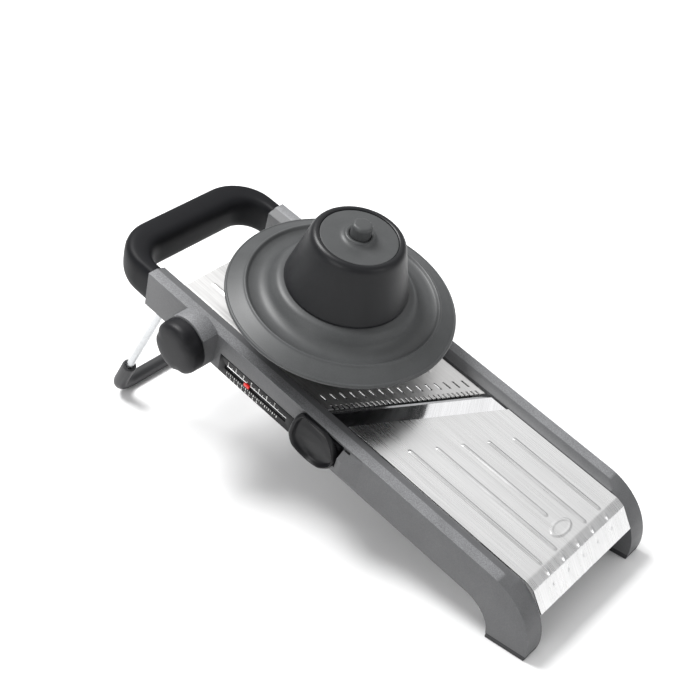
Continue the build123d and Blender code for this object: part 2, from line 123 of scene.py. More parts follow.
def turned(name, profile, middle, body, material, nodes=(), steps=144, upright=True, shape=None):
    """A lathe: each (radius, height) of the profile goes round a circle about the axis through middle.

    The axis is square to the rails, or straight across them when not upright. shape, when given,
    changes the radius from (radius, angle, height).
    """
    p = np.asarray(profile, float) * mm
    angle = np.linspace(0, 2 * np.pi, steps, endpoint=False)[None, :]
    radius, height = p[:, 0:1] + 0 * angle, p[:, 1:2] + 0 * angle
    if shape:
        radius = shape(radius, angle, height)
    a, b = radius * np.cos(angle), radius * np.sin(angle)
    if upright:
        points = np.stack([middle[0] * mm + a, b, height], -1)
    else:
        points = np.stack([middle[0] * mm + a, height, middle[1] * mm + b], -1)
    return makePiece(name, points, gridFaces(len(p), steps, closeColumns=True), body, material, nodes)


def softCopy(node, body, material, width=0.6 * mm, segments=3, dissolve=1.0):
    """A merged copy of a CAD node whose sharp edges are rounded by a bevel."""
    source = frame["nodes"][node]
    mesh = source.data.copy()
    mesh.name = node + "_soft"
    b = bmesh.new()
    b.from_mesh(mesh)
    bmesh.ops.remove_doubles(b, verts=b.verts, dist=2e-6)
    bmesh.ops.dissolve_limit(b, angle_limit=math.radians(dissolve), verts=b.verts, edges=b.edges)
    b.to_mesh(mesh)
    b.free()
    mesh.materials.clear()
    mesh.materials.append(material)
    mesh.shade_smooth()
    piece = bpy.data.objects.new(node + "_soft", mesh)
    bpy.context.scene.collection.objects.link(piece)
    rounded = piece.modifiers.new("rounded", "BEVEL")
    rounded.width = width
    rounded.segments = segments
    rounded.limit_method = "ANGLE"
    rounded.angle_limit = math.radians(28)
    rounded.harden_normals = True
    rounded.miter_outer = "MITER_ARC"
    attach(piece, body)
    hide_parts(node)
    return piece


# Camera, floor and lights

view = dict(place=(0.4862, -0.5363, 0.6313), target=(-0.0100, 0.0153, 0.1000), lens=64.4)


def addCamera():
    """The camera stands at its place and looks along the straight line to its target."""
    data = bpy.data.cameras.new("camera")
    data.lens, data.sensor_width = view["lens"], 36.0
    data.clip_start, data.clip_end = 0.01, 50
    camera = bpy.data.objects.new("camera", data)
    bpy.context.scene.collection.objects.link(camera)
    camera.location = view["place"]
    camera.rotation_mode = "QUATERNION"
    camera.rotation_quaternion = (Vector(view["target"]) - Vector(view["place"])).to_track_quat("-Z", "Y")
    bpy.context.scene.camera = camera


studio = dict(
    sky=(1.0, 1.0, 1.0), skyStrength=0.66, floor=(0.90, 0.90, 0.90),
    lights=[
        dict(name="keySoft", place=(-0.9, -0.15, 1.95), size=1.0, watts=56),
        dict(name="backCard", place=(-0.1, 1.7, 1.9), size=1.7, watts=3.4),
        dict(name="sideFill", place=(0.2, -1.7, 0.9), size=1.0, watts=7),
        dict(name="frontCard", place=(1.6, 0.4, 0.7), size=0.9, watts=4),
    ],
)


def addStudio():
    """A sky that brightens with height, and round area lamps that face the object."""
    world = bpy.data.worlds.new("studio")
    bpy.context.scene.world = world
    world.use_nodes = True
    nodes, links = world.node_tree.nodes, world.node_tree.links
    back = nodes["Background"]
    back.inputs["Strength"].default_value = studio["skyStrength"]
    # a soft vertical gradient, a little brighter overhead than at the horizon
    coord, split = nodes.new("ShaderNodeTexCoord"), nodes.new("ShaderNodeSeparateXYZ")
    ramp = nodes.new("ShaderNodeValToRGB")
    links.new(coord.outputs["Generated"], split.inputs[0])
    links.new(split.outputs["Z"], ramp.inputs[0])
    ramp.color_ramp.elements[0].position, ramp.color_ramp.elements[0].color = 0.0, (0.62, 0.63, 0.65, 1)
    ramp.color_ramp.elements[1].position, ramp.color_ramp.elements[1].color = 0.7, (*studio["sky"], 1)
    links.new(ramp.outputs["Color"], back.inputs["Color"])
    for lamp in studio["lights"]:
        data = bpy.data.lights.new(lamp["name"], "AREA")
        data.size, data.energy, data.shape = lamp["size"], lamp["watts"], "DISK"
        light = bpy.data.objects.new(lamp["name"], data)
        bpy.context.scene.collection.objects.link(light)
        light.location = lamp["place"]
        light.rotation_mode = "QUATERNION"
        light.rotation_quaternion = (Vector((0, 0, 0.08)) - Vector(lamp["place"])).to_track_quat("-Z", "Y")
    mesh = bpy.data.meshes.new("floor")
    s = 6.0
    mesh.from_pydata([(-s, -s, 0), (s, -s, 0), (s, s, 0), (-s, s, 0)], [], [(0, 1, 2, 3)])
    floor = bpy.data.objects.new("floor", mesh)
    bpy.context.scene.collection.objects.link(floor)
    material = bpy.data.materials.new("paleFloor")
    material.use_nodes = True
    shader = material.node_tree.nodes["Principled BSDF"]
    shader.inputs["Base Color"].default_value = (*studio["floor"], 1)
    shader.inputs["Roughness"].default_value = 0.9
    floor.data.materials.append(material)
    bpy.context.scene.view_settings.view_transform = "Standard"


addCamera()
addStudio()
print("camera, floor and lights ready")

# Shader node groups: each has named inputs and puts out colour, roughness or height only


def newGroup(name, inputs, outputs):
    """An empty node group with its sockets, and its two end nodes."""
    group = bpy.data.node_groups.new(name, "ShaderNodeTree")
    for label, kind, value in inputs:
        socket = group.interface.new_socket(name=label, in_out="INPUT", socket_type=kind)
        socket.default_value = value
    for label, kind in outputs:
        group.interface.new_socket(name=label, in_out="OUTPUT", socket_type=kind)
    start, end = group.nodes.new("NodeGroupInput"), group.nodes.new("NodeGroupOutput")
    return group, start, end


def addNode(group, kind, inputs=None, **settings):
    """One node: a socket given as an input is linked, and any other value is set."""
    node = group.nodes.new(kind)
    for key, value in settings.items():
        setattr(node, key, value)
    for key, value in (inputs or {}).items():
        if isinstance(value, bpy.types.NodeSocket):
            group.links.new(value, node.inputs[key])
        else:
            node.inputs[key].default_value = value
    return node


def mathNode(group, operation, a, b, clamp=False):
    """The result of one operation on a and b."""
    return addNode(group, "ShaderNodeMath", {0: a, 1: b}, operation=operation, use_clamp=clamp).outputs[0]


def tintNode(group, factor, a, b, blend="MIX"):
    """Colour a moved towards b by the factor."""
    node = group.nodes.new("ShaderNodeMix")
    node.data_type, node.blend_type = "RGBA", blend
    for socket, value in ((node.inputs[0], factor), (node.inputs[6], a), (node.inputs[7], b)):
        if isinstance(value, bpy.types.NodeSocket):
            group.links.new(value, socket)
        else:
            socket.default_value = value
    return node.outputs[2]


def makeMouldGroup():
    """Moulded plastic: a fine spark-eroded grain over a faint large mottle, with pale handling scuffs, and a
    painted highlight that lightens the flat outer band of each rail top.
    """
    group, start, end = newGroup("mouldedGrain", [
        ("Colour", "NodeSocketColor", (0.1, 0.1, 0.1, 1)), ("Scuff", "NodeSocketColor", (0.3, 0.3, 0.3, 1)),
        ("Grain Scale", "NodeSocketFloat", 2600.0), ("Grain", "NodeSocketFloat", 1.0),
        ("Roughness", "NodeSocketFloat", 0.45), ("Scuffing", "NodeSocketFloat", 0.2),
        ("Strip", "NodeSocketFloat", 0.0),
    ], [("Colour", "NodeSocketColor"), ("Roughness", "NodeSocketFloat"), ("Height", "NodeSocketFloat")])
    place = addNode(group, "ShaderNodeTexCoord").outputs["Object"]
    fine = addNode(group, "ShaderNodeTexNoise",
                   {"Vector": place, "Scale": start.outputs["Grain Scale"], "Detail": 2.0, "Roughness": 0.6})
    coarse = addNode(group, "ShaderNodeTexNoise",
                     {"Vector": place, "Scale": 55.0, "Detail": 4.0, "Roughness": 0.55})
    scratches = addNode(group, "ShaderNodeTexNoise",
                        {"Vector": place, "Scale": 420.0, "Detail": 6.0, "Roughness": 0.72,
                         "Distortion": 1.6})
    mask = addNode(group, "ShaderNodeMapRange",
                   {"Value": scratches.outputs["Fac"], "From Min": 0.60, "From Max": 0.74})
    worn = mathNode(group, "MULTIPLY", mask.outputs[0], start.outputs["Scuffing"], clamp=True)
    shade = addNode(group, "ShaderNodeMapRange",
                    {"Value": coarse.outputs["Fac"], "From Min": 0.3, "From Max": 0.7, "To Min": 0.92,
                     "To Max": 1.08})
    mottled = tintNode(group, 1.0, start.outputs["Colour"], shade.outputs[0], "MULTIPLY")
    speck = addNode(group, "ShaderNodeMapRange",
                    {"Value": fine.outputs["Fac"], "From Min": 0.35, "From Max": 0.65, "To Min": 0.9,
                     "To Max": 1.12})
    mottled = tintNode(group, 1.0, mottled, speck.outputs[0], "MULTIPLY")
    # painted highlight: the flat outer band along each rail top is painted paler, as if lit from overhead,
    # over a coarser grit; a height mask times a width mask
    height = addNode(group, "ShaderNodeVectorMath", {0: place, 1: tuple(square)},
                     operation="DOT_PRODUCT").outputs["Value"]
    level = addNode(group, "ShaderNodeMapRange",
                    {"Value": height, "From Min": float(zero @ square) - 0.5 * mm,
                                                  "From Max": float(zero @ square) - 0.2 * mm}).outputs[0]
    width = addNode(group, "ShaderNodeVectorMath", {0: place, 1: (0.0, 1.0, 0.0)},
                    operation="DOT_PRODUCT").outputs["Value"]
    width = mathNode(group, "ABSOLUTE", mathNode(group, "SUBTRACT", width, float(zero[1])), 0.0)
    outer = addNode(group, "ShaderNodeMapRange",
                    {"Value": width, "From Min": 60.4 * mm, "From Max": 61.0 * mm}).outputs[0]
    paintedTopLight = mathNode(group, "MULTIPLY", mathNode(group, "MULTIPLY", level, outer), start.outputs["Strip"])
    grit = addNode(group, "ShaderNodeTexNoise",
                   # the grit's range of 1.45 to 2.35 is mostly painted light: it brightens the band about
                   # twofold, with grit variation on top
                   {"Vector": place, "Scale": 1100.0, "Detail": 3.0, "Roughness": 0.7})
    litGrit = addNode(group, "ShaderNodeMapRange",
                     {"Value": grit.outputs["Fac"], "From Min": 0.35, "From Max": 0.65, "To Min": 1.45,
                      "To Max": 2.35})
    paintedLit = tintNode(group, 1.0, mottled, litGrit.outputs[0], "MULTIPLY")
    mottled = tintNode(group, paintedTopLight, mottled, paintedLit)
    group.links.new(tintNode(group, worn, mottled, start.outputs["Scuff"]), end.inputs["Colour"])
    rough = mathNode(group, "MULTIPLY_ADD", coarse.outputs["Fac"], 0.10)
    rough.node.inputs[2].default_value = -0.05
    rough = mathNode(group, "ADD", rough, start.outputs["Roughness"])
    rough = mathNode(group, "SUBTRACT", rough, mathNode(group, "MULTIPLY", worn, 0.12), clamp=True)
    group.links.new(rough, end.inputs["Roughness"])
    group.links.new(mathNode(group, "MULTIPLY", fine.outputs["Fac"], start.outputs["Grain"]),
                    end.inputs["Height"])
    return group


def makeBrushGroup():
    """Brushed steel: noise drawn out along the rails, in fine and broad lines, with broad smears that dull
    the roughness.
    """
    group, start, end = newGroup("brushedLines", [
        ("Colour", "NodeSocketColor", (0.7, 0.7, 0.7, 1)), ("Line Scale", "NodeSocketFloat", 900.0),
        ("Stretch", "NodeSocketFloat", 0.02), ("Roughness", "NodeSocketFloat", 0.28),
        ("Turn", "NodeSocketFloat", 0.0),
    ], [("Colour", "NodeSocketColor"), ("Roughness", "NodeSocketFloat"), ("Height", "NodeSocketFloat")])
    place = addNode(group, "ShaderNodeTexCoord").outputs["Object"]
    level = addNode(group, "ShaderNodeVectorRotate", {"Vector": place, "Angle": -pitch},
                    rotation_type="Y_AXIS")
    turn = addNode(group, "ShaderNodeVectorRotate",
                   {"Vector": level.outputs[0], "Angle": start.outputs["Turn"]}, rotation_type="Z_AXIS")
    squeeze = addNode(group, "ShaderNodeCombineXYZ",
                      {"X": start.outputs["Stretch"], "Y": 1.0, "Z": start.outputs["Stretch"]})
    lengthened = addNode(group, "ShaderNodeVectorMath", {0: turn.outputs[0], 1: squeeze.outputs[0]},
                         operation="MULTIPLY")
    fine = addNode(group, "ShaderNodeTexNoise",
                   {"Vector": lengthened.outputs[0], "Scale": start.outputs["Line Scale"], "Detail": 4.0,
                    "Roughness": 0.7})
    broad = addNode(group, "ShaderNodeTexNoise",
                    {"Vector": lengthened.outputs[0], "Scale": 190.0, "Detail": 3.0})
    lines = mathNode(group, "ADD", mathNode(group, "MULTIPLY", fine.outputs["Fac"], 0.6),
                     mathNode(group, "MULTIPLY", broad.outputs["Fac"], 0.4))
    shade = addNode(group, "ShaderNodeMapRange",
                    {"Value": lines, "From Min": 0.35, "From Max": 0.65, "To Min": 0.86, "To Max": 1.08})
    smears = addNode(group, "ShaderNodeTexNoise", {"Vector": place, "Scale": 24.0, "Detail": 3.0})
    group.links.new(tintNode(group, 1.0, start.outputs["Colour"], shade.outputs[0], "MULTIPLY"),
                    end.inputs["Colour"])
    spread = addNode(group, "ShaderNodeMapRange",
                     {"Value": lines, "From Min": 0.3, "From Max": 0.7, "To Min": -0.06, "To Max": 0.08})
    dull = addNode(group, "ShaderNodeMapRange",
                   {"Value": smears.outputs["Fac"], "From Min": 0.4, "From Max": 0.7, "To Min": 0.0,
                    "To Max": 0.07})
    rough = mathNode(group, "ADD", start.outputs["Roughness"], spread.outputs[0])
    group.links.new(mathNode(group, "ADD", rough, dull.outputs[0], clamp=True), end.inputs["Roughness"])
    group.links.new(lines, end.inputs["Height"])
    return group


mouldGroup = makeMouldGroup()
brushGroup = makeBrushGroup()


def makeMaterial(name, group, values, bumpDepth, metallic=0.0, **sockets):
    """A Principled shader fed by one of the groups, with its constant sockets set directly."""
    material = bpy.data.materials.new(name)
    material.use_nodes = True
    tree = material.node_tree
    shader = tree.nodes["Principled BSDF"]
    pattern = tree.nodes.new("ShaderNodeGroup")
    pattern.node_tree = group
    for key, value in values.items():
        pattern.inputs[key].default_value = value
    tree.links.new(pattern.outputs["Colour"], shader.inputs["Base Color"])
    tree.links.new(pattern.outputs["Roughness"], shader.inputs["Roughness"])
    relief = tree.nodes.new("ShaderNodeBump")
    relief.inputs["Distance"].default_value = bumpDepth
    relief.inputs["Strength"].default_value = 1.0
    tree.links.new(pattern.outputs["Height"], relief.inputs["Height"])
    tree.links.new(relief.outputs["Normal"], shader.inputs["Normal"])
    shader.inputs["Metallic"].default_value = metallic
    for key, value in sockets.items():
        shader.inputs[key.replace("_", " ")].default_value = value
    return material


def plastic(name, colour, roughness, grain=1.0, depth=0.00004, scuff=0.15, scale=2600.0, paintedTopLight=0.0,
            **sockets):
    """Moulded grain; its scuffs are half as bright again as the colour, and a painted highlight can lighten
    the rail tops' outer band.
    """
    pale = tuple(min(1, c * 1.5 + 0.03) for c in colour)
    values = {"Colour": (*colour, 1), "Scuff": (*pale, 1), "Grain Scale": scale, "Grain": grain,
              "Roughness": roughness, "Scuffing": scuff, "Strip": paintedTopLight}
    return makeMaterial(name, mouldGroup, values, depth, **sockets)


def steel(name, colour, roughness, lineScale=900.0, stretch=0.02, turn=0.0, depth=0.00002, **sockets):
    """Brushed lines over bare metal."""
    values = {"Colour": (*colour, 1), "Line Scale": lineScale, "Stretch": stretch, "Roughness": roughness,
              "Turn": turn}
    return makeMaterial(name, brushGroup, values, depth, metallic=1.0, **sockets)


bladeTurn = -math.atan(slant)
# greyBody paints the flat outer band of each rail top paler: a painted highlight standing in for overhead
# light
greyBody = plastic("greyBody", (0.088, 0.089, 0.092), 0.44, depth=0.00006, scale=1500.0, paintedTopLight=1.0,
                   Specular_IOR_Level=0.4)
greyBrim = plastic("greyBrim", (0.054, 0.056, 0.057), 0.43, depth=0.00002, scuff=0.10,
                   Specular_IOR_Level=0.36)
softGrip = plastic("softGrip", (0.006, 0.0062, 0.0075), 0.50, depth=0.00003, scuff=0.05,
                   Specular_IOR_Level=0.12)
domeGrip = plastic("domeGrip", (0.007, 0.0073, 0.0085), 0.38, depth=0.000015, scuff=0.05,
                   Specular_IOR_Level=0.28)
padRubber = plastic("padRubber", (0.020, 0.020, 0.022), 0.62, depth=0.00005, scuff=0.08)
sleeveRubber = plastic("sleeveRubber", (0.026, 0.026, 0.028), 0.48, depth=0.00003, scuff=0.08)
blackPlastic = plastic("blackPlastic", (0.006, 0.006, 0.007), 0.40, depth=0.00003, scuff=0.12,
                       Specular_IOR_Level=0.3)
knobBlack = plastic("knobBlack", (0.007, 0.007, 0.0085), 0.46, depth=0.00003, scuff=0.06,
                    Specular_IOR_Level=0.22)
scaleBlack = plastic("scaleBlack", (0.005, 0.005, 0.0055), 0.42, depth=0.00002, scuff=0.06,
                     Specular_IOR_Level=0.2)
markWhite = plastic("markWhite", (0.78, 0.78, 0.76), 0.5, depth=0.00001, scuff=0.2)
pointerRed = plastic("pointerRed", (0.62, 0.015, 0.012), 0.28, depth=0.00001, scuff=0.05)
whiteNylon = plastic("whiteNylon", (0.70, 0.69, 0.65), 0.45, depth=0.00002, scuff=0.1)
sheetSteel = steel("sheetSteel", (0.70, 0.70, 0.70), 0.25, depth=0.000006)
rampSteel = steel("rampSteel", (0.68, 0.675, 0.67), 0.40, depth=0.000006)
bladeSteel = steel("bladeSteel", (0.80, 0.80, 0.81), 0.12, lineScale=1600.0, turn=bladeTurn + math.pi / 2,
                   depth=0.000003)
rodSteel = steel("rodSteel", (0.52, 0.53, 0.54), 0.20, lineScale=1500.0, stretch=0.2)
springSteel = steel("springSteel", (0.62, 0.63, 0.65), 0.28, lineScale=2000.0, stretch=0.5)
print("materials ready")


# Ramp and landing plate: one pressed stainless sheet each

sheetUnder = 1.0 * mm
ribYs = np.array([-34.4, -17.2, 0.0, 17.2, 34.4]) * mm
landing = dict(rear=-134.3, ribStart=-105.0, fold=-5.5, crease=0.6, apron=12.8, top=-2.2, creaseZ=-4.4,
               apronZ=-18.0,
               ribWidth=3.8, ribHeight=0.62, bumpHeight=0.55, dimpleHeight=-0.45)


def solidSheet(piece, thickness):
    """Thickens a one-sided sheet downwards and rounds its cut edges."""
    thick = piece.modifiers.new("thickness", "SOLIDIFY")
    thick.thickness = thickness
    thick.offset = -1.0
    edge = piece.modifiers.new("edges", "BEVEL")
    edge.width, edge.segments, edge.limit_method = 0.12 * mm, 2, "ANGLE"
    edge.angle_limit = math.radians(50)
    edge.harden_normals = True
    return piece


def landingSurface(s, y):
    """The sheet's top: flat, then bent down over the fold and again at the crease, with five ribs.

    s runs from the rear edge (0) to the apron's end; each rib is a raised squared parabola with
    round ends; the apron band has a bump under each rib and the lower apron a small dimple.
    """
    g = landing
    flat = (g["fold"] - g["rear"]) * mm
    band = math.hypot(g["crease"] - g["fold"], g["creaseZ"] - g["top"]) * mm
    apron = math.hypot(g["apron"] - g["crease"], g["apronZ"] - g["creaseZ"]) * mm
    knots = np.array([0, flat, flat + band, flat + band + apron])
    xs = np.array([g["rear"], g["fold"], g["crease"], g["apron"]]) * mm
    zs = np.array([g["top"], g["top"], g["creaseZ"], g["apronZ"]]) * mm
    spread = np.linspace(-1, 1, 7)[:, None, None] * np.where(s < flat + band / 2, 1.5 * mm, 0.3 * mm)
    x = np.interp(s + spread, knots, xs).mean(0)
    z = np.interp(s + spread, knots, zs).mean(0)
    # the diagonal rear edge: a shear that has died out by the fold
    x = x + slant * y * np.clip(1 - s / flat, 0, 1)
    for rib in ribYs:
        start, end = g["ribStart"] * mm + slant * rib, (-28.0 if rib == 0 else -7.5) * mm
        d = np.hypot(np.clip(start + 2 * mm - x, 0, None) + np.clip(x - end + 2 * mm, 0, None), y - rib)
        z = z + g["ribHeight"] * mm * bump(d, 0, g["ribWidth"] * mm)
        raised = np.hypot((s - flat - 0.55 * band) / 1.5, y - rib)
        z = z + g["bumpHeight"] * mm * bump(raised, 0, 4.6 * mm)
        sunk = np.hypot((s - flat - band - 0.3 * apron) / 2.2, y - rib)
        z = z + g["dimpleHeight"] * mm * bump(sunk, 0, 2.8 * mm)
    # a plain oval emboss ahead of the middle rib
    oval = np.sqrt(((x + 17 * mm) / 5) ** 2 + (y / 9.5) ** 2) / mm
    z = z + 0.45 * mm * (smoothStep(1.12, 0.98, oval) - 0.55 * smoothStep(0.86, 0.72, oval))
    return np.stack([x, y + 0 * x, z], -1)


def makeLanding():
    """Even stations across, and along the profile stations that crowd at the two bends."""
    lengths = (np.linspace(0, 126.5, 170), np.linspace(127.0, 138.5, 30), np.linspace(139.0, 153.5, 26))
    s, y = np.meshgrid(np.concatenate(lengths) * mm, np.linspace(-rampHalf, rampHalf, 265), indexing="ij")
    points = landingSurface(s, y)
    piece = makePiece("landing_sheet", points, gridFaces(*s.shape), "frame", sheetSteel,
                      ["landing_plate"])
    return solidSheet(piece, sheetUnder)


ramp = dict(rear=-331.0, comb=-154.0, top=-3.8, slots=-166.3, slotLong=7.4, slotWide=1.3, teeth=31,
            combDeep=4.0, combWide=1.5, ribWidth=3.8, ribHeight=0.62)
slotYs = (-47 + 94 / 15 * np.arange(16)) * mm


def stripes(centres, width, low, high, fill):
    """Coordinates with an exact pair at the edges of every stripe, and even filling between them."""
    edges = np.sort(np.concatenate([np.ravel([centres - width / 2, centres + width / 2]), [low, high]]))
    return np.unique(np.round(np.concatenate([edges, np.linspace(low, high, fill)]), 6))


def makeRamp():
    """Rows follow the blade's slant over the slotted end; cells inside a slot or comb notch are left out."""
    g = ramp
    combYs = np.linspace(-48, 48, g["teeth"]) * mm
    y = np.concatenate([stripes(slotYs, g["slotWide"] * mm, -rampHalf, rampHalf, 160),
                        np.ravel([combYs - g["combWide"] * mm / 2, combYs + g["combWide"] * mm / 2])])
    y = np.unique(np.round(y, 6))
    y = y[np.concatenate([[True], np.diff(y) > 0.05 * mm])]
    comb, slotMid = g["comb"] * mm, g["slots"] * mm
    # u is x on the centre line for the slanted rows
    near = np.concatenate([
        np.linspace(slotMid - 30 * mm, slotMid - g["slotLong"] * mm / 2, 30),
        np.linspace(slotMid - g["slotLong"] * mm / 2, slotMid + g["slotLong"] * mm / 2, 9)[1:],
        np.linspace(slotMid + g["slotLong"] * mm / 2, comb - g["combDeep"] * mm, 8)[1:],
        np.linspace(comb - g["combDeep"] * mm, comb, 5)[1:]])
    far = np.linspace(g["rear"] * mm, slotMid - 30 * mm, 120)[:-1]
    u = np.concatenate([far, near])
    # the slant grows evenly from none at the rear edge to the whole slant where the slotted end begins
    share = np.where(u < slotMid - 30 * mm, (u - g["rear"] * mm) / (slotMid - 30 * mm - g["rear"] * mm), 1.0)
    U, Y = np.meshgrid(u, y, indexing="ij")
    x = U + slant * Y * share[:, None]
    z = np.full_like(x, g["top"] * mm)
    for rib in ribYs:
        start, end = -320 * mm, slotMid - 16 * mm + slant * rib
        d = np.hypot(np.clip(start + 2 * mm - x, 0, None) + np.clip(x - end + 2 * mm, 0, None), Y - rib)
        z = z + g["ribHeight"] * mm * bump(d, 0, g["ribWidth"] * mm)
    # the rear edge and both sides roll down into a short lip
    roll = np.clip(1 - (x - g["rear"] * mm) / (1.6 * mm), 0, 1)
    z = z - 1.2 * mm * (1 - np.sqrt(np.clip(1 - roll ** 2, 0, 1)))
    edge = np.clip(1 - (rampHalf - np.abs(Y)) / (1.2 * mm), 0, 1)
    z = z - 0.9 * mm * (1 - np.sqrt(np.clip(1 - edge ** 2, 0, 1)))
    faces = gridFaces(len(u), len(y))
    midU = (u[:-1] + u[1:])[:, None] / 2
    midY = (y[:-1] + y[1:])[None, :] / 2
    inSlot = (np.abs(midU - slotMid) < g["slotLong"] * mm / 2) & (
        np.abs(midY[..., None] - slotYs).min(-1) < g["slotWide"] * mm / 2)
    inComb = (midU > comb - g["combDeep"] * mm) & (np.abs(midY[..., None] - combYs).min(-1) < g["combWide"]
                                                   * mm / 2)
    faces = faces[~(inSlot | inComb).ravel()]
    piece = makePiece("ramp_sheet", np.stack([x, Y, z], -1), faces, "ramp", rampSteel,
                      ["ramp_plate"])
    return solidSheet(piece, sheetUnder)


makeLanding()
makeRamp()
print("steel sheets ready")


# Handle: one moulded black loop round the rear stands in for the grip and its grey core

handle = dict(rear=-400.0, thick=26.0, front=-352.0, inner=55.0, outer=69.0, cornerOut=34.0, cornerIn=19.0,
              low=-30.5, crown=1.0, power=3.4)


def loopPath(y, rearX, corner, steps):
    """A U in plan: straight, quarter circle, straight, quarter circle, straight, at even angles of turn."""
    g = handle
    a = np.radians(np.linspace(0, 90, steps))
    straight = np.linspace(0, 1, 10)[:-1]
    first = np.stack([g["front"] + (rearX + corner - g["front"]) * straight, np.full(9, -y)], -1)
    left = np.stack([rearX + corner - corner * np.sin(a), -y + corner - corner * np.cos(a)], -1)
    middle = np.stack([np.full(17, rearX), np.linspace(-y + corner, y - corner, 19)[1:-1]], -1)
    right = left[::-1] * [1, -1]
    return np.concatenate([first, left, middle, right, first[::-1] * [1, -1]])


def makeHandle():
    """Between the outer and the inner U the section is a superellipse: |a|^n + |b|^n = 1, n about 3.4."""
    g = handle
    outside = loopPath(g["outer"], g["rear"], g["cornerOut"], 22)
    inside = loopPath(g["inner"], g["rear"] + g["thick"], g["cornerIn"], 22)
    t = np.radians(np.linspace(0, 360, 56, endpoint=False))
    a = np.sign(np.cos(t)) * np.abs(np.cos(t)) ** (2 / g["power"])
    b = np.sign(np.sin(t)) * np.abs(np.sin(t)) ** (2 / g["power"])
    mid, reach = (outside + inside) / 2, (outside - inside) / 2
    plane = mid[:, None, :] + reach[:, None, :] * a[None, :, None]
    low, high = g["low"], -0.05
    z = (low + high) / 2 + (high - low) / 2 * b[None, :] + 0 * plane[..., 0]
    points = np.concatenate([plane, z[..., None]], -1) * mm
    rows, columns = points.shape[:2]
    faces = [tuple(f) for f in gridFaces(rows, columns, closeColumns=True)]
    faces += [tuple(range(columns)), tuple(range((rows - 1) * columns, rows * columns))]
    return makePiece("grip_loop", points, faces, "frame", softGrip,
                     ["handle_grip", "handle_core"])


makeHandle()
print("handle ready")


# Rails, pads, cross members and other moulded or turned parts: rounded copies of the CAD solids

soft = [
    ("left_rail", "frame", greyBody, "grey_body", 0.9), ("right_rail", "frame", greyBody, "grey_body", 0.9),
    ("left_foot_pad", "frame", padRubber, "rubber", 0.8),
    ("right_foot_pad", "frame", padRubber, "rubber", 0.8),
    ("rear_brace", "frame", blackPlastic, "black_plastic", 0.4),
    ("middle_brace", "frame", blackPlastic, "black_plastic", 0.4),
    ("front_brace", "frame", blackPlastic, "black_plastic", 0.4),
    ("throat_brace", "frame", blackPlastic, "black_plastic", 0.4),
    ("scale_plate", "frame", scaleBlack, "scale_black", 0.2),
    ("left_slide_guide", "frame", blackPlastic, "black_plastic", 0.3),
    ("right_slide_guide", "frame", blackPlastic, "black_plastic", 0.3),
    ("left_slide", "lifting_slides", blackPlastic, "black_plastic", 0.12),
    ("right_slide", "lifting_slides", blackPlastic, "black_plastic", 0.12),
    ("left_pinion", "thickness_dial", whiteNylon, "white_nylon", 0.12),
    ("right_pinion", "thickness_dial", whiteNylon, "white_nylon", 0.12),
    ("thickness_pointer", "lifting_slides", pointerRed, "red_plastic", 0.25),
    ("left_ramp_rib", "ramp", blackPlastic, "black_plastic", 0.4),
    ("right_ramp_rib", "ramp", blackPlastic, "black_plastic", 0.4),
    ("julienne_carrier", "julienne_set", blackPlastic, "black_plastic", 0.3),
    ("cartridge_tray", "blade_cartridge", blackPlastic, "black_plastic", 0.3),
    ("holder_web", "food_holder", blackPlastic, "black_plastic", 0.4),
    ("food_cup", "food_holder", blackPlastic, "black_plastic", 0.4),
    ("pusher_plate", "plunger", blackPlastic, "black_plastic", 0.5),
    ("plunger_collar", "plunger", blackPlastic, "black_plastic", 0.2),
    ("knob_bush", "frame", blackPlastic, "black_plastic", 0.2),
    ("shaft_bush", "frame", blackPlastic, "black_plastic", 0.2),
    ("ramp_knuckles", "ramp", blackPlastic, "black_plastic", 0.3),
    ("frame_screws", "frame", rodSteel, "bright_steel", 0.15),
    ("ramp_pivot_rod", "frame", rodSteel, "bright_steel", 0.3),
    ("knob_shaft", "thickness_dial", rodSteel, "bright_steel", 0.3),
    ("julienne_blades", "julienne_set", bladeSteel, "blade_steel", 0.03),
    ("blade_rivets", "blade_cartridge", rodSteel, "bright_steel", 0.1),
    ("leg_wire", "rear_leg", rodSteel, "bright_steel", 0.1),
    ("leg_sleeve", "rear_leg", sleeveRubber, "rubber", 0.8),
    ("leg_clips", "rear_leg", rodSteel, "bright_steel", 0.1),
    ("plunger_rod", "plunger", rodSteel, "bright_steel", 0.2),
    ("pusher_prongs", "plunger", rodSteel, "bright_steel", 0.05),
    ("plunger_spring", "plunger", springSteel, "bright_steel", 0.1),
]
for node, body, material, slotName, width in soft:
    softCopy(node, body, material, width * mm)
print("moulded parts ready")


# Food holder: brim, dome, cap and plunger button

